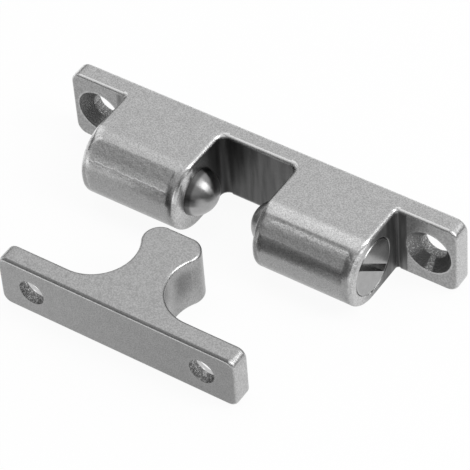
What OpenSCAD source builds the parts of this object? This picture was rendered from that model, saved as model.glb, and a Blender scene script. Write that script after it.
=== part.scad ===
// Double ball catch: a cast housing with two sprung balls that face each other
// across a gap, and a cast strike whose tongue snaps in between them.
// The housing's mounting face lies in the plane y = 0, its body reaches towards -Y,
// and the line through the two balls is parallel to X at z = 0.

/* [Housing] */
// Overall length of the housing, over both screw tabs
housing_l = 60; // [55:1:80]
// Height of the housing, the narrow way across its mounting face
housing_h = 11; // [10.5:0.1:14]
// Length of each screw tab beyond its barrel
tab_l = 9; // [8.6:0.1:12]
// Thickness of the screw tabs
tab_t = 2.8; // [2.3:0.1:4]
// Thickness of the wall behind the gap
gap_wall_t = 2.5; // [2:0.1:4]
// Clear width of the gap between the two barrels
gap_w = 11.8; // [11:0.1:15]
// Distance from the mounting face to the line through the balls
axis_reach = 8.5; // [8:0.1:12]
// Height of the flat strip along the front of each barrel, between its rounded corners
front_flat = 0.4; // [0.2:0.1:4]
// Rounding of each barrel's two end rims
barrel_rim_r = 0.7; // [0.45:0.05:0.9]
// Radius of the screw tabs' corners, seen from the front
tab_corner_r = 1.7; // [1:0.1:3]
// Hollow radius where a barrel meets its screw tab
tab_cove_r = 0.4; // [0.2:0.1:1]
// Hollow radius where a barrel meets the wall behind the gap
gap_cove_r = 1.1; // [0.4:0.1:2]
// Rounding of the plate's outer edges
plate_edge_r = 0.45; // [0.2:0.05:0.7]

/* [Fixing holes] */
// Diameter of every countersunk screw hole
hole_d = 3.8; // [3:0.1:4.2]
// Diameter of the countersink at the face
sink_d = 6.7; // [5.5:0.1:7]
// Distance from the end of the housing to the middle of its screw hole
housing_hole_edge = 4.3; // [3.9:0.1:4.6]
// Distance from the end of the strike to the middle of its screw hole
strike_hole_edge = 5.1; // [4:0.1:5.3]

/* [Ball and mouth] */
// Diameter of each ball
ball_d = 6.75; // [5.6:0.05:8.1]
// How much narrower than the ball the lip of its mouth is
lip_bite = 0.04; // [0.02:0.01:0.3]
// Play of the ball in its bore, on the diameter
ball_play = 0.1; // [0.04:0.02:0.18]
// Length of the taper behind the lip
lip_taper = 0.3; // [0.2:0.1:0.6]
// Broken edge of the mouth
mouth_break = 0.05; // [0.02:0.01:0.15]

/* [Adjusting screw] */
// How much wider than the ball each adjusting screw is
screw_step = 1.25; // [0.9:0.05:1.6]
// Length of each adjusting screw
screw_l = 4.5; // [3.5:0.1:5]
// Depth of the threaded end of the bore
thread_l = 6.2; // [5.2:0.1:7]
// Play of the screw in its thread, on the diameter
thread_play = 0.1; // [0.04:0.02:0.18]
// Bevel at both ends of the screw and at the mouth of its thread
screw_bevel = 0.15; // [0.1:0.05:0.3]
// Width of the driver slot
slot_w = 1.05; // [0.8:0.05:1.6]
// Depth of the driver slot
slot_depth = 1.3; // [0.8:0.1:1.8]
// Turn of the driver slot about its own axis
slot_turn = -43; // [-90:1:90]

/* [Spring] */
// Diameter of the spring wire
wire_d = 0.7; // [0.4:0.05:0.8]
// Play of the coils in the ball's bore, on the diameter
spring_play = 0.75; // [0.3:0.05:1.5]
// Number of turns
coil_turns = 4.5; // [3:0.5:4.5]
// Turns laid close at each end
closed_turns = 0.75; // [0.5:0.25:1]

/* [Strike] */
// Length of the strike plate
strike_l = 36.4; // [33:0.1:46]
// Height of the strike plate and of its tongue
strike_h = 8.3; // [7.8:0.1:11]
// Thickness of the strike plate
strike_t = 3; // [2.3:0.1:4]
// Play of the tongue's neck between the two balls
neck_play = 0.1; // [0:0.05:0.5]
// How far the tongue's head stands out behind each ball
catch_bite = 1.2; // [0.9:0.05:1.6]
// How far the balls draw the strike in before its tongue meets the wall behind the gap
pull_in = 0.55; // [0.3:0.05:0.9]
// Radius of the hollow between the plate and the head
strike_cove_r = 5.85; // [5:0.05:5.9]
// Radius of the strike plate's corners, seen from the front
strike_corner_r = 1.4; // [0.8:0.1:2.5]
// Rounding of the strike's outer edges
strike_edge_r = 0.5; // [0.2:0.05:0.6]
// Narrowest flat that the head's rounded corners leave at the tip of the tongue
tip_flat = 1; // [0.6:0.1:2]
// Sideways place of the strike beside the housing
strike_x = -1.95; // [-2.4:0.05:2.4]
// Room between the housing's front and the tip of the tongue as the set lies
strike_apart = 3.85; // [1:0.05:12]

/* [Hidden] */
$fn = 64;

// Room left between pieces that touch on the real catch
seat_gap = 0.02;
// How far a cutter runs past the face that it opens
past = 1;
// How deep a rounded wall reaches into the body that it borders
root = 0.4;
// How far the head's corner stands out over the walls that run into it, and its lap there
proud = 0.005;
head_lap = 15;

front_r = (housing_h - front_flat) / 2;
gap_x = gap_w / 2;
barrel_l = (housing_l - gap_w) / 2 - tab_l;
barrel_x = gap_x + barrel_l;
ball_r = ball_d / 2;
mouth_r = ball_r - lip_bite / 2;
bore_r = (ball_d + ball_play) / 2;
screw_d = ball_d + screw_step;
thread_r = (screw_d + thread_play) / 2;
// Places along a barrel, counted outwards from its face on the gap
ball_s = mouth_break + sqrt(pow(ball_r + seat_gap / 2, 2) - pow(mouth_r, 2));
thread_s = barrel_l - thread_l;
screw_s = barrel_l - screw_l;
wire_r = wire_d / 2;
coil_r = bore_r - spring_play / 2 - wire_r;
spring_s = ball_s + sqrt(pow(ball_r + wire_r + seat_gap, 2) - pow(coil_r, 2));
spring_l = screw_s - wire_r - seat_gap - spring_s;

// The tongue's neck and head fit between the balls, and its tip reaches the wall
// behind the gap when each ball is still pull_in from the middle of its hollow.
tip_x = gap_x + ball_s - ball_r;
neck_w = 2 * tip_x + neck_play;
head_w = 2 * (tip_x + catch_bite);
tongue_reach = strike_t + strike_cove_r + axis_reach - gap_wall_t + pull_in;
strike_y = axis_reach + housing_h / 2 + strike_apart + tongue_reach;

// The tongue's outline, drawn like the housing with the mounting face at y = 0: the
// head's corner radius is the one that runs smoothly into the hollow, and where the tip
// is too narrow for it, a straight flank joins a smaller corner to the hollow.
cove_x = neck_w / 2 + strike_cove_r;
cove_y = strike_t + strike_cove_r;
head_a = cove_x - head_w / 2;
head_b = tongue_reach - cove_y;
head_half = head_b - head_a + strike_cove_r;
smooth_r = head_half - sqrt(pow(head_half, 2) - pow(head_a, 2) - pow(head_b, 2) + pow(strike_cove_r, 2));
corner_r = min(smooth_r, (head_w - tip_flat) / 2);
has_flank = corner_r < smooth_r;
centre_in = head_a + corner_r;
centre_on = head_b - corner_r;
head_apart = norm([centre_in, centre_on]);
flank_l = has_flank ? sqrt(pow(head_apart, 2) - pow(strike_cove_r + corner_r, 2)) : 0;
// How far the hollow turns beyond the neck
head_turn = atan2(centre_on, centre_in) - atan2(flank_l, strike_cove_r + corner_r);
head_x = head_w / 2 - corner_r;
head_y = tongue_reach - corner_r;

// A strip of width r and height h that is flat on the left and rounded on the right
module rounded_strip(h, r) {
    intersection() {
        translate([0, -h / 2]) square([r, h]);
        union() {
            for (s = [-1, 1]) translate([0, s * (h / 2 - r)]) circle(r);
            translate([-r, r - h / 2]) square([2 * r, h - 2 * r]);
        }
    }
}

// A section of width w and height h with its right side rounded
module half_rounded(w, h, r) {
    translate([0, -h / 2]) square([w - r, h]);
    translate([w - r, 0]) rounded_strip(h, r);
}

// A section of width w and height h, rounded on both sides
module full_rounded(w, h, r) {
    translate([r, -h / 2]) square([w - 2 * r, h]);
    translate([w - r, 0]) rounded_strip(h, r);
    translate([r, 0]) mirror([1, 0]) rounded_strip(h, r);
}

// Runs a section in the plane of Y and Z along X
module along_x(from, to) {
    translate([from, 0, 0]) rotate([90, 0, 90]) linear_extrude(to - from) children();
}

// A wall section whose right side, at w, is rounded and whose root reaches back past 0
module rooted_strip(w, h, r) {
    translate([-root, -h / 2]) square([w + root - r, h]);
    translate([w - r, 0]) rounded_strip(h, r);
}

// A vertical edge strip that runs a length l towards -Y, rounded on its +X side
module edge_wall(l, h, r) {
    rotate([90, 0, 0]) linear_extrude(l) rooted_strip(r, h, r);
}

// A vertical hollow round its own axis, filling the corner towards +X and +Y
module corner_cove(radius, h, r) {
    rotate_extrude(angle = 90) translate([radius + r, 0]) mirror([1, 0]) rooted_strip(r, h, r);
    translate([0, 0, -h / 2]) linear_extrude(h) difference() {
        square(radius + r);
        circle(radius + r);
    }
}

// The end of a plate of thickness t from x = 0 to its rounded corners at x = corner
module plate_end(corner, t, h, r) {
    translate([0, -t / 2, 0]) {
        linear_extrude(h - 2 * corner, center = true) half_rounded(corner, t, r);
        for (s = [-1, 1]) translate([0, 0, s * (h / 2 - corner)]) rotate([s * 90, 0, 0])
            rotate_extrude(angle = 90) half_rounded(corner, t, r);
    }
}

// A countersunk hole through a plate of thickness t, its head on the -Y side
module screw_hole(t) {
    sink = (sink_d - hole_d) / 2;
    rotate([90, 0, 0]) {
        translate([0, 0, -past]) cylinder(d = hole_d, h = t + 2 * past);
        translate([0, 0, t - sink]) cylinder(d1 = hole_d, d2 = sink_d + 2 * past, h = sink + past);
    }
}

// Puts a piece drawn along +X from the middle of the gap into the left or right barrel
module in_barrel(side) {
    translate([0, -axis_reach, 0]) rotate([0, 0, side > 0 ? 0 : 180]) children();
}

// Front of a barrel, rounded along its length and at both rims
module barrel_front() {
    r = barrel_rim_r;
    translate([gap_x + barrel_l / 2, -axis_reach, 0]) {
        for (s = [-1, 1]) translate([0, front_r - housing_h / 2, s * front_flat / 2])
            rotate([0, 90, 0]) rotate([0, 0, s > 0 ? 180 : -90])
                rotate_extrude(angle = 90) half_rounded(front_r, barrel_l, r);
        translate([0, front_r - housing_h / 2, 0]) rotate([0, 0, -90])
            linear_extrude(front_flat, center = true) half_rounded(front_r, barrel_l, r);
    }
}

// One half of the casting, from the middle of the gap to the end of the tab
module housing_half() {
    edge = plate_edge_r;
    rim = barrel_rim_r;
    h = housing_h;
    front_y = axis_reach + housing_h / 2 - front_r;
    gap_end = gap_x - gap_cove_r;
    tab_start = barrel_x + tab_cove_r;
    tab_end = housing_l / 2 - tab_corner_r;
    // wall behind the gap, and the hollow that joins it to the barrel
    along_x(0, gap_end) translate([-gap_wall_t, 0]) full_rounded(gap_wall_t, h, edge);
    along_x(gap_end, gap_x + rim) translate([rim - gap_wall_t, 0])
        half_rounded(gap_wall_t - rim, h, edge);
    translate([gap_end, -gap_wall_t - gap_cove_r, 0]) corner_cove(gap_cove_r, h, rim);
    // barrel: its two end walls, its core and its rounded front
    translate([gap_x + rim, -gap_wall_t - gap_cove_r, 0]) mirror([1, 0, 0])
        edge_wall(front_y - gap_wall_t - gap_cove_r, h, rim);
    translate([barrel_x - rim, -tab_t - tab_cove_r, 0])
        edge_wall(front_y - tab_t - tab_cove_r, h, rim);
    along_x(gap_x + rim, barrel_x - rim) translate([-front_y, 0]) half_rounded(front_y, h, edge);
    barrel_front();
    // screw tab with its rounded end
    translate([tab_start, -tab_t - tab_cove_r, 0]) mirror([1, 0, 0]) corner_cove(tab_cove_r, h, rim);
    along_x(barrel_x - rim, tab_start) translate([rim - tab_t, 0]) half_rounded(tab_t - rim, h, edge);
    along_x(tab_start, tab_end) translate([-tab_t, 0]) full_rounded(tab_t, h, edge);
    translate([tab_end, 0, 0]) plate_end(tab_corner_r, tab_t, h, edge);
}

// The stepped bore of a barrel: lip and taper for the ball, then the screw thread
module barrel_bore() {
    step = thread_r - bore_r;
    translate([gap_x, 0, 0]) rotate([0, 90, 0]) rotate_extrude() polygon([
        [0, -past], [mouth_r + mouth_break + past, -past], [mouth_r, mouth_break],
        [bore_r, mouth_break + lip_taper], [bore_r, thread_s], [thread_r, thread_s + step],
        [thread_r, barrel_l - screw_bevel], [thread_r + screw_bevel + past, barrel_l + past],
        [0, barrel_l + past]]);
}

module housing() {
    color("silver") difference() {
        union() for (m = [0, 1]) mirror([m, 0, 0]) housing_half();
        for (side = [-1, 1]) {
            in_barrel(side) barrel_bore();
            translate([side * (housing_l / 2 - housing_hole_edge), 0, 0]) screw_hole(tab_t);
        }
    }
}

module ball(side) {
    color("gainsboro") in_barrel(side) translate([gap_x + ball_s, 0, 0]) sphere(d = ball_d);
}

module adjusting_screw(side) {
    b = screw_bevel;
    color("lightgray") in_barrel(side) translate([gap_x + screw_s, 0, 0]) difference() {
        rotate([0, 90, 0]) rotate_extrude() polygon([
            [0, 0], [screw_d / 2 - b, 0], [screw_d / 2, b], [screw_d / 2, screw_l - b],
            [screw_d / 2 - b, screw_l], [0, screw_l]]);
        rotate([slot_turn, 0, 0]) translate([screw_l - slot_depth, -screw_d, -slot_w / 2])
            cube([slot_depth + past, 2 * screw_d, slot_w]);
    }
}

// Distance along the spring after a number of turns: close at the ends, open between
function coil_place(turn) =
    let(open = (spring_l - 2 * closed_turns * wire_d) / (coil_turns - 2 * closed_turns))
    turn < closed_turns ? turn * wire_d
    : turn < coil_turns - closed_turns ? closed_turns * wire_d + (turn - closed_turns) * open
    : spring_l - (coil_turns - turn) * wire_d;

module spring(side) {
    steps = 24;
    sides = 8;
    rings = coil_turns * steps;
    points = [for (i = [0:rings], j = [0:sides - 1])
        let(turn = i / steps, a = 360 * j / sides, out = coil_r + wire_r * cos(a))
        [coil_place(turn) + wire_r * sin(a), out * cos(360 * turn), out * sin(360 * turn)]];
    tube = [for (i = [0:rings - 1], j = [0:sides - 1])
        let(k = (j + 1) % sides)
        [i * sides + j, (i + 1) * sides + j, (i + 1) * sides + k, i * sides + k]];
    first = [for (j = [0:sides - 1]) j];
    last = [for (j = [sides - 1:-1:0]) rings * sides + j];
    color("darkgray") in_barrel(side) translate([gap_x + spring_s, 0, 0])
        polyhedron(points, concat([first, last], tube));
}

// One side of the strike, drawn with its mounting face at y = 0 and its tongue towards -Y.
// The head's corner stands a hair proud of the walls that run into it, and reaches past
// them, so that each wall ends inside it.
module strike_side() {
    r = strike_edge_r;
    h = strike_h;
    plate_x = strike_l / 2 - strike_corner_r;
    along_x(cove_x, plate_x) translate([-strike_t, 0]) full_rounded(strike_t, h, r);
    translate([plate_x, 0, 0]) plate_end(strike_corner_r, strike_t, h, r);
    translate([cove_x, -cove_y, 0]) {
        rotate([0, 0, 90]) rotate_extrude(angle = 90 + head_turn)
            translate([strike_cove_r + r, 0]) mirror([1, 0]) rooted_strip(r, h, r);
        if (has_flank) rotate([0, 0, 180 + head_turn]) translate([strike_cove_r + r - proud, flank_l, 0])
            mirror([1, 0, 0]) edge_wall(flank_l + 2 * root, h, r);
    }
    translate([head_x, -head_y, 0]) rotate([0, 0, -90 - head_lap])
        rotate_extrude(angle = 90 + head_turn + 2 * head_lap) half_rounded(corner_r + 2 * proud, h, r);
}

// The body of the strike between its two rounded sides, which it reaches into
module strike_core() {
    r = strike_edge_r;
    h = strike_h;
    low = r + root / 2 - tongue_reach;
    high = r + root / 2 - strike_t;
    deep = strike_cove_r + r + root * 3 / 4;
    flank = [for (l = has_flank ? [0, flank_l] : [])
        [cove_x - deep * cos(head_turn) + l * sin(head_turn),
         -cove_y - deep * sin(head_turn) - l * cos(head_turn)]];
    half = concat([[cove_x, high], [cove_x, -cove_y]], flank,
                  [[head_x + root, -head_y - root], [head_x + root, low]]);
    other = [for (i = [len(half) - 1:-1:0]) [-half[i].x, half[i].y]];
    along_x(-cove_x, cove_x) translate([r - strike_t, 0]) half_rounded(strike_t - r, h, r);
    translate([head_x, r - tongue_reach, 0]) rotate([0, 0, -90]) edge_wall(2 * head_x, h, r);
    translate([0, 0, -h / 2]) linear_extrude(h) difference() {
        polygon(concat(half, other));
        for (s = [-1, 1]) translate([s * cove_x, -cove_y]) circle(strike_cove_r + r + root / 2);
    }
}

module strike() {
    color("silver") translate([strike_x, -strike_y, (strike_h - housing_h) / 2]) rotate([0, 0, 180])
        difference() {
            union() {
                strike_core();
                for (m = [0, 1]) mirror([m, 0, 0]) strike_side();
            }
            for (side = [-1, 1])
                translate([side * (strike_l / 2 - strike_hole_edge), 0, 0]) screw_hole(strike_t);
        }
}

housing();
ball(-1);  // left_ball
ball(1);  // right_ball
spring(-1);  // left_spring
spring(1);  // right_spring
adjusting_screw(-1);  // left_adjusting_screw
adjusting_screw(1);  // right_adjusting_screw
strike();
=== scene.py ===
# %% [markdown]
# # Double ball catch
# A small cabinet fitting in two castings. The housing holds two sprung balls that face
# each other across a gap, and the strike on the door pushes its tongue in between them.
# This lesson takes the packed model as a fixed frame and gives every piece its looks. The
# castings and the balls keep the shape that they were packed with and get a skin. The
# springs and the adjusting screws are grown anew, because a coil and a thread each follow
# a rule that is short to write down.

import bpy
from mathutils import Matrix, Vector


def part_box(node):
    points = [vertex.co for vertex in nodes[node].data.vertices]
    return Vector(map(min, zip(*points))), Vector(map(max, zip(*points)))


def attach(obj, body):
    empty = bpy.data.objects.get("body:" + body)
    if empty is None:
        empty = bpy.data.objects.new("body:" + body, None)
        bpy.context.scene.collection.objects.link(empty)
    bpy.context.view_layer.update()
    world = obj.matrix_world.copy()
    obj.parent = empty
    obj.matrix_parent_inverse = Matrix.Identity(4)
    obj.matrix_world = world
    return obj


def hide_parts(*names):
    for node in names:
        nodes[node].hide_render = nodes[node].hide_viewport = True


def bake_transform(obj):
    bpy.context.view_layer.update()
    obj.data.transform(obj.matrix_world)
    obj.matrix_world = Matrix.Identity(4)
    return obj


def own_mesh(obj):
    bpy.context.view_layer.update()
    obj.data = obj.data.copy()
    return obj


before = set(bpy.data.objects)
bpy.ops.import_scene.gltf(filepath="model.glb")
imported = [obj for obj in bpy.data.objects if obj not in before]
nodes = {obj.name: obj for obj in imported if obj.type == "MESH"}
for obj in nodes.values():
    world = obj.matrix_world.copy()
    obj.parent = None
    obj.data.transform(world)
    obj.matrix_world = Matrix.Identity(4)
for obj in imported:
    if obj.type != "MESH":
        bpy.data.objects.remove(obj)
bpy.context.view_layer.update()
print("pieces in the frame:", sorted(nodes))

# %% [markdown]
# ## Units
# Blender counts in metres, and a catch is easier to think of in millimetres, so sizes are
# written in millimetres and turned into metres at the last step. Angles are written in
# degrees. The Standard view shows each colour about as it is written.

# %% Units and tools
import math

import bmesh
import bpy
from mathutils import Matrix, Vector

MM = 0.001
DEG = math.pi / 180
scene = bpy.context.scene
scene.view_settings.view_transform = "Standard"


def box_mm(node):
    """The lowest and the highest corner of a node, in millimetres."""
    return [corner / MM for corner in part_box(node)]


print("the housing reaches from", *(tuple(round(c, 1) for c in corner) for corner in box_mm("housing")))

# %% [markdown]
# ## Camera
# The photograph looks down on the catch from its right front, from far away with a long
# lens, so the two castings hardly taper. The angles and the distance were found by laying
# the model's edges over the picture's edges. The camera's own three axes are worked out
# from azimuth, elevation and a small tilt, which is easier to read than a matrix.

# %% Camera
AZIMUTH, ELEVATION, TILT = 36.883 * DEG, 46.171 * DEG, -4.808 * DEG
LENS_PIXELS, IMAGE_PIXELS, SENSOR = 2999.06, 470, 36
PLACE_RIGHT, PLACE_UP, PLACE_AWAY = -5.082, -5.057, 398.09
TABLE_Z = -5.5 * MM

level = Vector((math.cos(AZIMUTH), math.sin(AZIMUTH), 0))
away = Vector((math.sin(AZIMUTH) * math.cos(ELEVATION), -math.cos(AZIMUTH) * math.cos(ELEVATION),
               math.sin(ELEVATION)))
steep = away.cross(level)
right = level * math.cos(TILT) + steep * math.sin(TILT)
up = steep * math.cos(TILT) - level * math.sin(TILT)
place = (right * PLACE_RIGHT + up * PLACE_UP + away * PLACE_AWAY) * MM + Vector((0, 0, TABLE_Z))

camera = bpy.data.objects.new("camera", bpy.data.cameras.new("camera"))
scene.collection.objects.link(camera)
camera.matrix_world = Matrix.Translation(place) @ Matrix((right, up, away)).transposed().to_4x4()
camera.data.sensor_width = SENSOR
camera.data.lens = LENS_PIXELS / IMAGE_PIXELS * SENSOR
camera.data.clip_start, camera.data.clip_end = 0.01, 10
scene.camera = camera
print("camera stands", round(place.length / MM), "mm away, lens", round(camera.data.lens), "mm")

# %% [markdown]
# ## Node arithmetic as formulas
# A shader tree is mostly arithmetic: where a point lies, how far it is from a hole, how
# rough the skin is there. Wiring each Math node by hand hides the thought, so a small class
# lets a socket take part in a formula, and every operator adds the node that it names.

# %% Numbers that flow between nodes
def feed(tree, value, socket):
    """Links a Number to a socket, or sets the socket to a plain value."""
    if isinstance(value, Number):
        tree.links.new(value.socket, socket)
    else:
        socket.default_value = value


class Number:
    """A socket that takes part in formulas."""

    def __init__(self, tree, socket):
        self.tree, self.socket = tree, socket

    def math(self, kind, *others):
        node = self.tree.nodes.new("ShaderNodeMath")
        node.operation = kind
        for index, value in enumerate((self, *others)):
            feed(self.tree, value, node.inputs[index])
        return Number(self.tree, node.outputs[0])

    def __add__(self, other):
        return self.math("ADD", other)

    def __sub__(self, other):
        return self.math("SUBTRACT", other)

    def __mul__(self, other):
        return self.math("MULTIPLY", other)

    def __truediv__(self, other):
        return self.math("DIVIDE", other)

    def __abs__(self):
        return self.math("ABSOLUTE")

    def __neg__(self):
        return self.math("MULTIPLY", -1.0)

    def low(self, other):
        return self.math("MINIMUM", other)

    def high(self, other):
        return self.math("MAXIMUM", other)

    def squared(self):
        return self.math("MULTIPLY", self)

    def between(self, at_0, at_1):
        """at_0 where this number is 0 and at_1 where it is 1, in a straight line."""
        return self.math("MULTIPLY_ADD", at_1 - at_0, at_0)

    def rise(self, start, end):
        """0 below start, 1 above end, smooth between."""
        node = self.tree.nodes.new("ShaderNodeMapRange")
        node.interpolation_type = "SMOOTHSTEP"
        for name, value in (("Value", self), ("From Min", start), ("From Max", end)):
            feed(self.tree, value, node.inputs[name])
        return Number(self.tree, node.outputs[0])

    def fall(self, start, end):
        """1 below start, 0 above end, smooth between."""
        return self.rise(start, end).between(1.0, 0.0)

    def band(self, start, full, fade, end):
        """0 outside start and end, 1 from full to fade."""
        return self.rise(start, full) * self.fall(fade, end)

    def toward(self, other, share):
        """This number where share is 0, the other where share is 1."""
        node = self.tree.nodes.new("ShaderNodeMapRange")
        for name, value in (("Value", share), ("To Min", self), ("To Max", other)):
            feed(self.tree, value, node.inputs[name])
        return Number(self.tree, node.outputs[0])


print("a Number knows:", *(name for name in vars(Number) if name[0] != "_"))

# %% [markdown]
# ## Table
# The catch lies on a white ground. A table that is only lit would need more light than the
# metal can take, so for the camera and for mirror rays it mostly glows, which keeps the
# catch's shadow faint and shows white in its reflections too. It reaches far out, so that
# it fills a low view, and it isn't part of the catch.

# %% Table
TABLE_SIZE, TABLE_GAP = 16.0, 0.02 * MM
TABLE_TONE, TABLE_ROUGHNESS, TABLE_GLOW = 0.93, 0.8, 0.93

half, ground = TABLE_SIZE / 2, TABLE_Z - TABLE_GAP
mesh = bpy.data.meshes.new("table")
corners = [(-half, -half, ground), (half, -half, ground), (half, half, ground), (-half, half, ground)]
mesh.from_pydata(corners, [], [(0, 1, 2, 3)])
table = bpy.data.objects.new("table", mesh)
scene.collection.objects.link(table)

paper = bpy.data.materials.new("pale_paper")
paper.use_nodes = True
tree = paper.node_tree
matt = tree.nodes["Principled BSDF"]
matt.inputs["Base Color"].default_value = (TABLE_TONE, TABLE_TONE, TABLE_TONE, 1)
matt.inputs["Roughness"].default_value = TABLE_ROUGHNESS
glow = tree.nodes.new("ShaderNodeEmission")
glow.inputs["Color"].default_value = (1, 1, 1, 1)
ray = tree.nodes.new("ShaderNodeLightPath").outputs
seen, mirrored, through = (
    Number(tree, ray[name]) for name in ("Is Camera Ray", "Is Glossy Ray", "Is Transmission Ray"))
mix = tree.nodes.new("ShaderNodeMixShader")
feed(tree, seen.high(mirrored).high(through) * TABLE_GLOW, mix.inputs[0])
tree.links.new(matt.outputs[0], mix.inputs[1])
tree.links.new(glow.outputs[0], mix.inputs[2])
tree.links.new(mix.outputs[0], tree.nodes["Material Output"].inputs[0])
mesh.materials.append(paper)
print("table at", TABLE_Z / MM, "mm,", TABLE_SIZE, "m wide")

# %% [markdown]
# ## Light
# Satin metal shows what stands round it more than its own colour. A very wide, weak lamp
# above and behind lights the flat top faces, a long strip overhead draws the lines along
# the rounded barrels, and a smaller lamp at the right lights the ends and the ball. The
# sky is dim near the horizon, which gives the fronts their depth, and paler higher up.

# %% Lamps and sky
def soft_lamp(name, where, aim, size, radiance, roll=0.0):
    """A rectangle of light at a place in metres, turned to its aim; radiance is how bright it looks."""
    lamp = bpy.data.lights.new(name, "AREA")
    lamp.shape, lamp.size, lamp.size_y = "RECTANGLE", size[0], size[1]
    lamp.energy = math.pi * size[0] * size[1] * radiance
    obj = bpy.data.objects.new(name, lamp)
    scene.collection.objects.link(obj)
    facing = (Vector(where) - Vector(aim)).to_track_quat("Z", "Y").to_matrix().to_4x4()
    obj.matrix_world = Matrix.Translation(where) @ facing @ Matrix.Rotation(roll * DEG, 4, "Z")
    obj.visible_camera = False


soft_lamp("lamp_above", (-0.2, 0.8, 0.6), (-0.2, 0.8, 0), (2.6, 1.9), 0.24)
soft_lamp("lamp_bank", (0.22, 0.09, 0.6), (0.22, 0.09, 0), (1.25, 0.22), 2.6, roll=9)
soft_lamp("lamp_side", (0.5, 0.12, 0.42), (0, 0, 0), (0.38, 0.38), 3.4)

sky = bpy.data.worlds.new("sky")
sky.use_nodes = True
air = sky.node_tree
direction = air.nodes.new("ShaderNodeSeparateXYZ")
air.links.new(air.nodes.new("ShaderNodeTexCoord").outputs["Generated"], direction.inputs[0])
LOW_SKY, HIGH_SKY, PALER_FROM, PALER_TO = 0.1, 0.48, 0.1, 0.5
brightness = Number(air, direction.outputs["Z"]).rise(PALER_FROM, PALER_TO).between(LOW_SKY, HIGH_SKY)
feed(air, brightness, air.nodes["Background"].inputs["Color"])
scene.world = sky

# %% [markdown]
# ## A steel surface to build on
# Every steel here is the same metal with another skin, so one function sets up what they
# share: the place on the piece in millimetres, the way that the surface faces, and the
# last shader. A skin function then answers three questions at each point: how light the
# metal is, how rough it is, and how high its surface stands, in millimetres.

# %% Steel with a skin
class Surface:
    """A point of a piece: x, y and z in millimetres, and how much it faces across, along and upward.

    The last three are the squared parts of the normal, so they add up to 1 and are the
    same for a face and for the face behind it.
    """

    def __init__(self, tree):
        self.tree = tree
        where = tree.nodes.new("ShaderNodeTexCoord")
        in_mm = tree.nodes.new("ShaderNodeVectorMath")
        in_mm.operation = "SCALE"
        in_mm.inputs["Scale"].default_value = 1 / MM
        tree.links.new(where.outputs["Object"], in_mm.inputs[0])
        self.spot = in_mm.outputs[0]
        self.x, self.y, self.z = self.parts(self.spot)
        self.across, self.along, self.upward = (p.squared() for p in self.parts(where.outputs["Normal"]))

    def parts(self, vector):
        split = self.tree.nodes.new("ShaderNodeSeparateXYZ")
        self.tree.links.new(vector, split.inputs[0])
        return [Number(self.tree, out) for out in split.outputs]

    def noise(self, per_mm, detail=2.0, stretch=(1, 1, 1), shift=0.0):
        """Cloudy noise round 0.5; per_mm is how many spots lie side by side on a millimetre."""
        spread = self.tree.nodes.new("ShaderNodeMapping")
        spread.inputs["Scale"].default_value = [1 / part for part in stretch]
        spread.inputs["Location"].default_value = (shift, shift, shift)
        self.tree.links.new(self.spot, spread.inputs[0])
        cloud = self.tree.nodes.new("ShaderNodeTexNoise")
        cloud.inputs["Scale"].default_value = per_mm
        cloud.inputs["Detail"].default_value = detail
        self.tree.links.new(spread.outputs[0], cloud.inputs["Vector"])
        return Number(self.tree, cloud.outputs[0])


def steel(name, skin, brushed_round_x=0.0):
    """A steel whose tone, roughness and height come from skin(surface)."""
    material = bpy.data.materials.new(name)
    material.use_nodes = True
    tree = material.node_tree
    shader = tree.nodes["Principled BSDF"]
    shader.inputs["Metallic"].default_value = 1.0
    tone, roughness, height = skin(Surface(tree))
    bump = tree.nodes.new("ShaderNodeBump")
    bump.inputs["Distance"].default_value = MM
    feed(tree, height, bump.inputs["Height"])
    grey = tree.nodes.new("ShaderNodeCombineColor")
    for part in grey.inputs:
        feed(tree, tone, part)
    tree.links.new(grey.outputs[0], shader.inputs["Base Color"])
    feed(tree, roughness, shader.inputs["Roughness"])
    tree.links.new(bump.outputs[0], shader.inputs["Normal"])
    if brushed_round_x:
        shader.inputs["Anisotropic"].default_value = brushed_round_x
        axis = tree.nodes.new("ShaderNodeCombineXYZ")
        axis.inputs["X"].default_value = 1.0
        tree.links.new(axis.outputs[0], shader.inputs["Tangent"])
    print(name, "has", len(tree.nodes), "nodes")
    return material


def wear(node, material):
    """Gives a packed piece its skin."""
    node.data.materials.clear()
    node.data.materials.append(material)


print("a skin gives a tone, a roughness and a height")

# %% [markdown]
# ## What both castings share
# The castings were blasted, which leaves a fine grain, and then tumbled with stones, which
# clouds the grain and rubs the edges bright. The stones reach edges first, so the way that a
# surface faces tells where it shines: on a flat face one part of the normal is 1, and on a
# rounded edge two of them share it. The same parts find the corners, which get painted
# highlights, and the rims at the ends, which get painted light and shade.

# %% Grain and edges
GRAIN_HEIGHT, DENT_HEIGHT, CRUMB_HEIGHT = 0.01, 0.03, 0.05


def speckle(s, tone, amount):
    """Fine grain from the blasting, broader clouds from the tumbling, and a few small pits."""
    grain = s.noise(5.5).rise(0.3, 0.7)
    cloud = s.noise(0.9, 3.0, shift=4.0)
    pit = s.noise(1.6, 1.0, shift=12.0).rise(0.7, 0.76) * grain.rise(0.3, 0.6)
    return tone * grain.between(1 - amount, 1 + amount) * cloud.between(0.9, 1.1) * pit.between(1.0, 0.7)


def cast_roughness(s, least):
    """Cloudy roughness, from least upward."""
    return s.noise(1.2, shift=7.0).between(least, least + 0.16)


def cast_height(s, crumb):
    """Heights in millimetres: grain, gentle dents and the crumbs in the holes."""
    grain, dent = s.noise(5.0), s.noise(0.55, shift=2.0)
    return grain * GRAIN_HEIGHT + dent * DENT_HEIGHT + crumb * CRUMB_HEIGHT


def rounded_edges(s, fronts):
    """1 in the middle of a rounded edge; fronts says how much of the long edges counts."""
    return s.across * 4.0 * (s.along + s.upward) + s.along * 4.0 * s.upward * fronts


def corner(s):
    """1 on a rounded corner, where all three directions have a share; the castings put a painted highlight
    there.
    """
    return s.across.rise(0.06, 0.12) * s.along.rise(0.06, 0.12) * s.upward.rise(0.3, 0.4)


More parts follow.
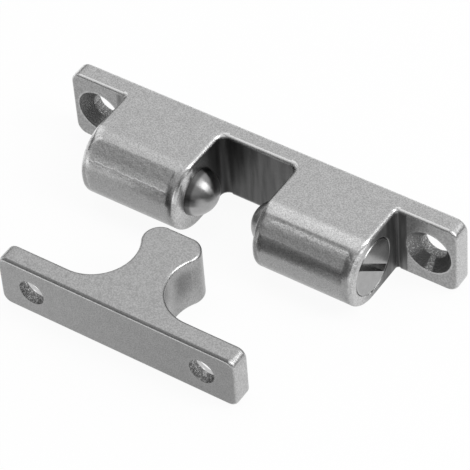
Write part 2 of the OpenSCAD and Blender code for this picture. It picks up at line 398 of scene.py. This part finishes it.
def end_rim(s):
    """The rounding between an end and the top, where the castings put painted light and shade."""
    return s.across * s.upward * s.along.fall(0.06, 0.12)


print("heights of grain, dents and crumbs:", GRAIN_HEIGHT, DENT_HEIGHT, CRUMB_HEIGHT, "mm")

# %% [markdown]
# ## Screw holes
# The screw holes are cast too, and nothing rubs them, so they keep a rough skin: a cone
# darkened by painted shade, with painted light on some sides, a crumbly bore, and a thin
# ring of painted highlight round the front. The distance from the hole's axis says which of
# these a point lies in, and a face that looks straight forward or back belongs to the plate.

# %% Screw holes
HOLE_R, HOLE_ROUGHNESS, RIM_HIGHLIGHT_FADES = 1.9, 0.42, (-2.0, -1.5)


def arc(turn, middle, half):
    """1 in the middle of an arc and 0 past its ends, both in degrees."""
    return (turn - middle * DEG).math("COSINE").rise(math.cos(half * DEG), math.cos(half * 0.3 * DEG))


def rough_hole(s, tone, rough, across, up, sink, lit=0.0, rim_highlight_shine=0.28, crumbs_per_mm=5.5):
    """The tone and roughness round a hole, and its crumbs; across and up are measured from its axis."""
    from_axis = (across.squared() + up.squared()).math("SQRT")
    crumb = s.noise(crumbs_per_mm, 3.0, shift=9.0).rise(0.42, 0.62)
    in_cone = from_axis.fall(sink - 0.04, sink + 0.04) * s.along.fall(0.9, 0.97)
    in_bore = from_axis.fall(HOLE_R + 0.02, HOLE_R + 0.1)
    # a thin ring of painted highlight round the front of the sink
    painted_rim_highlight = from_axis.band(sink, sink + 0.05, sink + 0.15, sink + 0.3) * s.y.fall(*RIM_HIGHLIGHT_FADES)
    # painted shade in the cone, with painted light where lit is above 0
    cone = crumb.between(0.15, 0.65) * lit + 0.16
    land = crumb.between(0.24, 0.58)
    tone = (tone * painted_rim_highlight.between(1.0, 1.0 + rim_highlight_shine)).toward(cone.toward(land, in_bore), in_cone)
    return tone, rough.toward(HOLE_ROUGHNESS, in_cone), crumb * in_cone


print("holes of", 2 * HOLE_R, "mm")

# %% [markdown]
# ## Rubbed flats on the barrels
# Each barrel was dressed on a belt, at a slightly different angle, which left a long flat
# in front with a ridge beside it. A flat could be cut into the mesh, but it is only one or
# two tenths of a millimetre deep, so it is made as height: inside the flat the round front
# is lowered to a plane. The tone follows the angle round the barrel's axis, from 0 at the
# top to 90 degrees in front: bands along each barrel hold painted highlights and painted
# dark reflections, and the ridge a painted highlight.

# %% A flat
FRONT_Y, FRONT_Z, FRONT_R = -8.7, 0.2, 5.3
LEFT_FLAT, RIGHT_FLAT = 41, 46


def sector(turn, *borders):
    """A band round the barrel, with its four borders in degrees."""
    return turn.band(*(border * DEG for border in borders))


def worn_flat(s, turn, middle, half, start, end):
    """A flat from x = start to end, with its middle and half its width in degrees.

    Gives how far inside the flat a point lies and how far off its middle, both in
    radians, and how far the surface is lowered, in millimetres.
    """
    wobble = s.noise(1.4, 3.0, shift=5.0).between(-3 * DEG, 3 * DEG)
    width = s.x.band(start, start + 1.3, end - 1.3, end) * half * DEG + wobble
    off = turn - middle * DEG
    depth = width.math("COSINE") / off.low(1.0).high(-1.0).math("COSINE") * FRONT_R - FRONT_R
    return width - abs(off), off, depth.low(0.0)


print("the fronts are rounded by", FRONT_R, "mm")

# %% Flats and painted highlights on the two barrels
def left_barrel(s, turn, mottle):
    inside, off, cut = worn_flat(s, turn, LEFT_FLAT, 17, -20.7, -6.4)
    lower = off.rise(-0.1, 0.1).high(s.x.fall(-19.6, -19.0))
    # a painted highlight along the ridge, mottled
    ridge = inside.band(-0.085, -0.025, -0.015, 0.04) * lower * s.x.fall(-8.4, -7.6)
    painted_dark_reflection = s.x.band(-7.6, -7.2, -7.0, -6.5) * sector(turn, 40, 50, 74, 84)
    # painted highlight bands near the top and at 58 to 62 degrees, a painted dark reflection near the rim,
    # and a painted highlight at the left end
    tone = (ridge * mottle).between(1.0, 7.0) * sector(turn, 3, 13, 24, 29).between(1.0, 1.2)
    tone = tone * sector(turn, 40, 58, 62, 74).between(1.0, 1.75) * painted_dark_reflection.between(1.0, 0.4)
    return tone * s.x.fall(-20.4, -19.2).between(1.0, 1.45), cut


def right_barrel(s, turn, mottle):
    inside, off, cut = worn_flat(s, turn, RIGHT_FLAT, 12, 6.0, 20.4)
    upper = off.fall(-0.1, 0.1) * s.x.rise(6.6, 9.5)
    # a painted highlight along the ridge, with a painted dark line beside it
    ridge = inside.band(-0.06, 0.0, 0.02, 0.08) * upper
    painted_dark_line = inside.band(-0.15, -0.09, -0.09, -0.04) * upper
    painted_dark_reflection = s.x.band(19.2, 19.6, 19.9, 20.4) * sector(turn, 28, 36, 60, 68)
    # painted highlight bands, a painted dark line beside the ridge and a painted dark reflection near the
    # end
    tone = (ridge * mottle).between(1.0, 2.2) * sector(turn, 3, 13, 24, 29).between(1.0, 1.52)
    tone = tone * sector(turn, 31, 35, 37, 48).between(1.0, 1.4) * painted_dark_reflection.between(1.0, 0.45)
    tone = tone * painted_dark_line.between(1.0, 0.75) * sector(turn, 52, 60, 67, 76).between(1.0, 1.2)
    droop = (turn.high(50 * DEG).low(85 * DEG) - 50 * DEG) * 0.1 * FRONT_R
    return tone, cut + droop


def barrel_flats_and_painted_sheen(s):
    """A factor for the tone, which holds painted highlights, reflections and shade, and the height, which
    are 1 and 0 away from the barrels' fronts.
    """
    turn = (-(s.y - FRONT_Y)).math("ARCTAN2", s.z - FRONT_Z)
    mottle = s.noise(5.5, 3.0, shift=3.0).rise(0.38, 0.62)
    left_tone, left_cut = left_barrel(s, turn, mottle)
    right_tone, right_cut = right_barrel(s, turn, mottle)
    is_left = s.x.fall(-0.1, 0.1)
    front = s.y.fall(-9.2, -8.8)
    # painted shade on the lowest part of the front
    belly = turn.rise(96 * DEG, 112 * DEG).between(1.0, 0.88)
    near_ends = (abs(s.x) - 19.4).high(-abs(s.x) + 7.5).high(0.0)
    rolled = near_ends.squared() * -0.35 * s.y.fall(-12.0, -9.0)
    tone = right_tone.toward(left_tone, is_left) * belly
    tone = (tone - 1.0) * front * s.across.fall(0.6, 0.95) + 1.0
    return tone, right_cut.toward(left_cut, is_left) * front + rolled


print("flats at", LEFT_FLAT, "and", RIGHT_FLAT, "degrees from the top")

# %% [markdown]
# ## Housing
# Its top and bottom are painted palest and its fronts darker, as painted light and shade by
# the way that each face is turned. The wall behind the gap, the barrels' ends near the plate
# and a narrow band of each tab beside its barrel get painted shade. The plate's front-top
# edges and corners get painted highlights, the barrels' gap faces are painted lighter toward
# the top and darker toward the bottom, and the rims of the tab ends get painted light on the
# left and painted shade on the right. Position and facing tell these places apart, so no
# part of the pattern depends on where the camera stands.

# %% Housing
TAB_HOLE_X, TAB_SINK_R = 25.7, 3.35
BARREL_NEAR, BARREL_FAR, TAB_END = 5.9, 20.9, 30.0
PLATE_FRONT, WALL_FRONT, HALF_HEIGHT = -2.8, -2.5, 5.5


def painted_recess_shade(s, side):
    """Where painted shade darkens the housing's recesses, and how dark, with streaks from the casting's
    draw.
    """
    in_gap = side.fall(BARREL_NEAR + 0.08, BARREL_NEAR + 0.3)
    gap = in_gap * s.y.band(-10.0, -4.5, WALL_FRONT + 0.2, WALL_FRONT + 0.3)
    at_end = side.band(BARREL_FAR - 0.1, BARREL_FAR + 0.05, BARREL_FAR + 1.55, BARREL_FAR + 1.65)
    barrel_end = at_end * s.y.band(-12.5, -5.5, PLATE_FRONT + 0.8, PLATE_FRONT + 1.0)
    dark = gap.high(barrel_end) * abs(s.z).fall(HALF_HEIGHT - 0.65, HALF_HEIGHT - 0.25)
    streak = s.noise(1.3, 3.0, stretch=(1, 1, 9)).between(0.2, 1.8)
    # the coves get deeper painted shade
    cove = (s.across * s.along * 4.0).between(1.0, 0.3)
    shade = s.x.rise(-6.0, 7.0) * 0.07 + s.x.fall(-21.0, -20.0) * 0.2 + 0.085
    return dark, shade * streak * cove


def tab_holes(s, tone, rough):
    is_right = s.x.rise(-0.1, 0.1)
    across = s.x - is_right.between(-TAB_HOLE_X, TAB_HOLE_X)
    turn = s.z.math("ARCTAN2", across)
    lit_left = arc(turn, -75, 45) * 0.4 + 0.08
    lit_right = arc(turn, -92, 13).high(arc(turn, 180, 50) * 0.45)
    return rough_hole(s, tone, rough, across, s.z, TAB_SINK_R, lit_left.toward(lit_right, is_right))


def housing_skin(s):
    side = abs(s.x)
    flats_and_sheen, cut = barrel_flats_and_painted_sheen(s)
    dark, shade = painted_recess_shade(s, side)
    on_plate = s.y.rise(PLATE_FRONT - 0.6, PLATE_FRONT - 0.4)
    edge = rounded_edges(s, on_plate)
    # a painted highlight along the plate's front-top edges
    painted_edge_highlight = s.upward.band(0.5, 0.65, 0.985, 0.999) * s.across.fall(0.01, 0.06) * s.along.rise(0.005, 0.03)
    # painted light on the left tab's end rim and painted shade on the right one
    ends = end_rim(s) * side.rise(TAB_END - 2.0, TAB_END - 1.7) * s.x.rise(-0.1, 0.1).between(0.4, -0.4)
    # painted light on the barrels' gap faces toward the top, painted shade toward the bottom
    painted_gap_face_light_and_shade = s.across * side.fall(BARREL_NEAR + 1.1, BARREL_NEAR + 1.4) * (s.z * 0.25 + 0.1).low(1.0)
    # painted light and shade: the top and bottom lighter and the fronts darker, by the way each face is
    # turned
    tone = s.upward * 0.56 + s.along * 0.31 + s.across * 0.52
    # painted highlights on the plate's front-top edges and corners, with the painted light and shade of the
    # tab-end rims and gap faces
    tone = tone + edge * 0.12 + (painted_edge_highlight * 0.5 + corner(s) * 0.8) * on_plate + ends + painted_gap_face_light_and_shade * 0.16
    # painted shade covers the recesses where dark is 1
    tone = (speckle(s, tone, 0.22) * flats_and_sheen).toward(shade, dark)
    rough = cast_roughness(s, 0.22).toward(0.5, dark).toward(0.3, edge * 0.6)
    tone, rough, crumb = tab_holes(s, tone, rough)
    return tone, rough, cast_height(s, crumb) + cut


wear(nodes["housing"], steel("tumbled_casting", housing_skin))

# %% [markdown]
# ## Strike
# The strike was tumbled and not dressed, so it has the same grain without flats. Its top is
# painted palest and its front and the neck's side darker, as painted light and shade by the
# way that each face is turned. A painted dark reflection runs along the upper edge of its
# front face, with a painted highlight under it, its front corners get painted highlights and
# the rim of its right end painted shade, and the side of its neck is darker in the middle.

# %% Strike
STRIKE_X, STRIKE_Z, STRIKE_HOLE_X = -1.95, -1.35, 13.1
MOUTH_WIDER, OUT_OF_HOLE = 0.12, 9.0


def strike_skin(s):
    # the neck's side is darker in the middle
    neck_darker_middle = s.y.band(-25.2, -22.8, -22.0, -20.0) * s.z.band(-4.5, -0.8, 0.4, 2.4)
    flank = neck_darker_middle * -0.18 + s.y.fall(-30.0, -29.5) * 0.13 + 0.33
    face = s.x.rise(-22.0, 14.0).between(0.31, 0.25)
    front_edge = s.y.fall(-32.6, -32.4) * s.across.fall(0.02, 0.1) * s.z.rise(0.0, 0.1)
    # a painted dark reflection on the front's upper edge, with a painted highlight under it
    painted_edge_dark_line = s.upward.band(0.25, 0.4, 0.93, 0.98) * front_edge
    painted_edge_bright_line = s.upward.band(0.01, 0.05, 0.12, 0.25) * front_edge
    front_corner = corner(s) * s.y.fall(-31.5, -31.0)
    # painted light and shade: the top lighter, the front and the neck's side darker, by the way each face
    # is turned
    tone = s.upward * 0.49 + s.along * face + s.across * flank
    # painted shade on the rim of the right end, painted highlights on the front corners
    tone = tone + rounded_edges(s, 1.0) * 0.1 - end_rim(s) * s.x.rise(14.0, 14.3) * 0.4 + front_corner * 0.8
    tone = speckle(s, tone * painted_edge_dark_line.between(1.0, 0.58) + painted_edge_bright_line * 0.25, 0.18)
    aside = abs(s.x - STRIKE_X) - STRIKE_HOLE_X
    # behind the plate nothing counts as a hole
    up = s.z - STRIKE_Z + s.y.rise(-30.0, -29.9) * OUT_OF_HOLE
    tone, rough, crumb = rough_hole(s, tone, cast_roughness(s, 0.24), aside, up, HOLE_R + MOUTH_WIDER,
                                    rim_highlight_shine=0.05, crumbs_per_mm=3.2)
    return tone, rough, cast_height(s, crumb)


wear(nodes["strike"], steel("tumbled_strike", strike_skin))

# %% [markdown]
# ## Balls
# Bearing balls are ground and polished, so they reflect nearly like a mirror, with a faint
# haze of fine scratches where the tongue rubs them each time the door shuts. They run
# round the barrel's axis, which the shader's anisotropy shows. Toward the lip of the
# barrel the ball is darkened with painted shade, where the lip shades it.

# %% Balls
def ball_skin(s):
    scratch = s.noise(3.0, 4.0, stretch=(6, 1, 1))
    # painted shade where the lip shades the ball
    painted_shade_at_lip = abs(s.x).rise(4.95, 5.35).between(1.0, 0.4)
    return scratch.between(0.32, 0.42) * painted_shade_at_lip, scratch.between(0.25, 0.35), scratch * 0.001


polished = steel("polished_ball", ball_skin, brushed_round_x=0.8)
for side in ("left", "right"):
    wear(nodes[side + "_ball"], polished)

# %% [markdown]
# ## Shapes that follow a rule
# A coil and a thread are one formula each, so they are grown by geometry nodes: a line or a
# grid of points is made, and every point is moved to the place that its number gives. The
# tree's inputs are the sizes that someone would change. The grown shape is then kept as a
# plain mesh, with its normals facing outwards.

# %% Trees that grow a mesh
SHARP = 32 * DEG


def geometry_tree(name, sizes):
    """A tree with one input for each size, and these inputs as Numbers."""
    tree = bpy.data.node_groups.new(name, "GeometryNodeTree")
    for key, value in sizes.items():
        tree.interface.new_socket(key, in_out="INPUT", socket_type="NodeSocketFloat").default_value = value
    tree.interface.new_socket("Geometry", in_out="OUTPUT", socket_type="NodeSocketGeometry")
    entry = tree.nodes.new("NodeGroupInput")
    return tree, {key: Number(tree, entry.outputs[key]) for key in sizes}


def step(tree, kind, geometry=None, **inputs):
    """Adds a node, sets or links its inputs by name, and gives back its geometry."""
    node = tree.nodes.new(kind)
    if geometry is not None:
        tree.links.new(geometry, next(i for i in node.inputs if i.type == "GEOMETRY"))
    for name, value in inputs.items():
        feed(tree, value, node.inputs[name.replace("_", " ")])
    return node.outputs[0]


def vector(tree, x, y, z):
    node = tree.nodes.new("ShaderNodeCombineXYZ")
    for index, value in enumerate((x, y, z)):
        feed(tree, value, node.inputs[index])
    return Number(tree, node.outputs[0])


def point_number(tree):
    return Number(tree, tree.nodes.new("GeometryNodeInputIndex").outputs[0])


def close_tree(tree, size, geometry, material):
    """Places a shape from millimetres round the barrel's axis in the frame, and ends the tree."""
    placed = step(tree, "GeometryNodeTransform", geometry, Scale=(MM, MM, MM),
                  Rotation=vector(tree, 0.0, 0.0, size["Half turns"] * math.pi),
                  Translation=vector(tree, size["Place X"] * MM, size["Place Y"] * MM, 0.0))
    whole = step(tree, "GeometryNodeRealizeInstances", placed)
    coated = step(tree, "GeometryNodeSetMaterial", whole, Material=material)
    tree.links.new(coated, tree.nodes.new("NodeGroupOutput").inputs[0])
    return tree


def grow(name, tree, sizes):
    """Runs a tree with these sizes and keeps what it made as a plain mesh."""
    piece = bpy.data.objects.new(name, bpy.data.meshes.new(name))
    scene.collection.objects.link(piece)
    shape = piece.modifiers.new("shape", "NODES")
    shape.node_group = tree
    for item in tree.interface.items_tree:
        if item.in_out == "INPUT":
            shape[item.identifier] = float(sizes.get(item.name, item.default_value))
    ready = piece.evaluated_get(bpy.context.evaluated_depsgraph_get())
    mesh = bpy.data.meshes.new_from_object(ready)
    piece.modifiers.clear()
    piece.data = mesh
    work = bmesh.new()
    work.from_mesh(mesh)
    bmesh.ops.recalc_face_normals(work, faces=work.faces)
    work.to_mesh(mesh)
    work.free()
    mesh.shade_smooth()
    mesh.set_sharp_from_angle(angle=SHARP)
    print(name, "has", len(mesh.polygons), "faces")
    return piece


print("edges stay sharp above", round(SHARP / DEG), "degrees")

# %% [markdown]
# ## Springs
# Hard-drawn wire is wound on an arbor, and its end coils are laid close so that they press
# flat against the ball and the screw. A spring shortens as its ball moves and as its screw
# is turned in, so it is made in two lengths: one beside the ball and one beside the screw.

# %% Coil
WIRE, TURNS, CLOSED, STEPS_A_TURN, SIDES_OF_WIRE = 0.7, 4.5, 0.75, 24, 12


def wire_skin(s):
    drawn = s.noise(3.0, 3.0, stretch=(1, 4, 4))
    return drawn.between(0.35, 0.55), drawn.between(0.2, 0.4), drawn * 0.004


def coil_tree(material):
    tree, size = geometry_tree("coil", {
        "Radius": 2.35, "Wire": WIRE, "Length": 7.1, "Turns": TURNS, "Closed turns": CLOSED,
        "First turn": 0.0, "Last turn": TURNS, "Place X": 0.0, "Place Y": 0.0, "Half turns": 0.0})
    count = (size["Last turn"] - size["First turn"]) * STEPS_A_TURN + 1.0
    line = step(tree, "GeometryNodeMeshLine", Count=count)
    turn = size["First turn"] + point_number(tree) / float(STEPS_A_TURN)
    closed, wire = size["Closed turns"], size["Wire"]
    free = size["Turns"] - closed * 2.0
    pitch = (size["Length"] - closed * wire * 2.0) / free
    along = turn.low(closed) * wire + (turn - closed).high(0.0).low(free) * pitch
    along = along + (turn - closed - free).high(0.0) * wire
    angle = turn * (2 * math.pi)
    spot = vector(tree, along, size["Radius"] * angle.math("COSINE"), size["Radius"] * angle.math("SINE"))
    curve = step(tree, "GeometryNodeMeshToCurve", line)
    wound = step(tree, "GeometryNodeSetPosition", curve, Position=spot)
    section = step(tree, "GeometryNodeCurvePrimitiveCircle", Resolution=SIDES_OF_WIRE, Radius=wire * 0.5)
    tube = tree.nodes.new("GeometryNodeCurveToMesh")
    tree.links.new(wound, tube.inputs["Curve"])
    tree.links.new(section, tube.inputs["Profile Curve"])
    tube.inputs["Fill Caps"].default_value = True
    return close_tree(tree, size, tube.outputs[0], material)


coil = coil_tree(steel("spring_wire", wire_skin))

# %% Two springs, each in two lengths
SPLIT_TURN, BALL_TRAVEL, CLEAR_OF_BALL = 2.75, 2.5, 0.2

for side, sign in (("left", -1), ("right", 1)):
    low, high = box_mm(side + "_spring")
    near, far = sorted((abs(low.x), abs(high.x)))
    first, length, middle = near + WIRE / 2, far - near - WIRE, (low.y + high.y) / 2
    shared = {"Radius": (high.z - low.z) / 2 - WIRE / 2, "Length": length,
              "Place X": sign * first, "Place Y": middle, "Half turns": 0.0 if sign > 0 else 1.0}
    ball_part = grow(side + "_spring_ball_part", coil, {**shared, "Last turn": SPLIT_TURN})
    screw_part = grow(side + "_spring_screw_part", coil, {**shared, "First turn": SPLIT_TURN})
    pitch = (length - 2 * CLOSED * WIRE) / (TURNS - 2 * CLOSED)
    split = first + CLOSED * WIRE + (SPLIT_TURN - CLOSED) * pitch
    anchor = Vector((sign * split, middle, 0)) * MM
    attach(ball_part, "housing")
    1 - (BALL_TRAVEL + CLEAR_OF_BALL) / (split - near)
    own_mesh(ball_part)
    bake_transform(screw_part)
    for piece in (ball_part, screw_part):
        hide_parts(side + "_spring")
    print(side, "spring splits", round(split, 2), "mm out, with a pitch of", round(pitch, 2), "mm")

# %% [markdown]
# ## Adjusting screws
# Each barrel is closed by a slotted set screw, turned from bar: a thread is cut along it,
# the end face is faced off in fine rings, and a saw cuts the slot. One grid of points gives
# the whole skin, from the middle of one end face over the thread to the middle of the
# other, and a box cuts the slot out of it. Each column of the grid runs along the screw,
# and each row runs round it.

# %% Adjusting screw
AROUND, FACE_ROWS, THREAD_ROWS, FLAT_SHARE, WELD = 97, 6, 78, 0.15, 0.0005
BORE_Y, RING_RADIANS_PER_MM = -8.5, 40.0


def turned_skin(s):
    from_axis = ((s.y - BORE_Y).squared() + s.z.squared()).math("SQRT")
    facing = s.across.rise(0.8, 0.95)
    ring = (from_axis * RING_RADIANS_PER_MM).math("SINE") * facing
    cloud = s.noise(1.1, 3.0)
    tone = cloud.between(0.27, 0.39) * facing.between(0.5, 1.0)
    # a painted highlight on the bevel round the end face
    tone = tone + s.across * from_axis.rise(3.8, 3.88) * 0.5
    return tone, cloud.between(0.16, 0.28), ring * 0.0015


def screw_tree(material):
    tree, size = geometry_tree("adjusting_screw", {
        "Diameter": 8.0, "Length": 4.5, "Pitch": 0.8, "Thread depth": 0.38, "Bevel": 0.15,
        "Slot width": 1.05, "Slot depth": 1.3, "Slot turn": -42.6,
        "Place X": 0.0, "Place Y": 0.0, "Half turns": 0.0})
    rows = 2 * FACE_ROWS + THREAD_ROWS + 1
    grid = step(tree, "GeometryNodeMeshGrid", Vertices_X=AROUND, Vertices_Y=rows)
    number = point_number(tree)
    column = (number / float(rows)).math("FLOOR")
    row = number - column * float(rows)
    share = column / float(AROUND - 1)
    length, radius, bevel = size["Length"], size["Diameter"] * 0.5, size["Bevel"]
    along = ((row - float(FACE_ROWS)) / float(THREAD_ROWS)).high(0.0).low(1.0) * length
    from_first = row / float(FACE_ROWS)
    from_last = -from_first + (rows - 1.0) / FACE_ROWS
    inward = from_first.low(from_last).low(1.0).high(0.0)
    wave = abs((along / size["Pitch"] - share).math("FRACT") * 2.0 - 1.0)
    painted_dark_line = ((wave - FLAT_SHARE) / (1 - 2 * FLAT_SHARE)).high(0.0).low(1.0).between(1.0, 0.0)
    runout = ((length - along) / size["Pitch"]).low(1.0)
    thread = radius - painted_dark_line * runout * size["Thread depth"]
    to_end = along.low(length - along)
    reach = thread.low(radius - (bevel - to_end).high(0.0)) * inward
    angle = share * (2 * math.pi)
    spot = vector(tree, along, reach * angle.math("COSINE"), reach * angle.math("SINE"))
    shaped = step(tree, "GeometryNodeSetPosition", grid, Position=spot)
    closed = step(tree, "GeometryNodeMergeByDistance", shaped, Distance=WELD)
    saw = step(tree, "GeometryNodeMeshCube",
               Size=vector(tree, size["Slot depth"] * 2.0, size["Diameter"] * 1.3, size["Slot width"]))
    turned = step(tree, "GeometryNodeTransform", saw, Translation=vector(tree, length, 0.0, 0.0),
                  Rotation=vector(tree, size["Slot turn"] * DEG, 0.0, 0.0))
    cut = tree.nodes.new("GeometryNodeMeshBoolean")
    cut.operation, cut.solver = "DIFFERENCE", "EXACT"
    tree.links.new(closed, cut.inputs["Mesh 1"])
    tree.links.new(turned, cut.inputs["Mesh 2"])
    return close_tree(tree, size, cut.outputs[0], material)


set_screw = screw_tree(steel("turned_steel", turned_skin))
for side, sign in (("left", -1), ("right", 1)):
    low, high = box_mm(side + "_adjusting_screw")
    near, far = sorted((abs(low.x), abs(high.x)))
    screw = grow(side + "_set_screw", set_screw, {
        "Diameter": high.z - low.z, "Length": far - near, "Place X": sign * near,
        "Place Y": (low.y + high.y) / 2, "Half turns": 0.0 if sign > 0 else 1.0})
    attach(screw, side + "_adjusting_screw")
    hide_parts(side + "_adjusting_screw")

# %% [markdown]
# ## Finish
# The visual model has to fill the same box as the packed one.
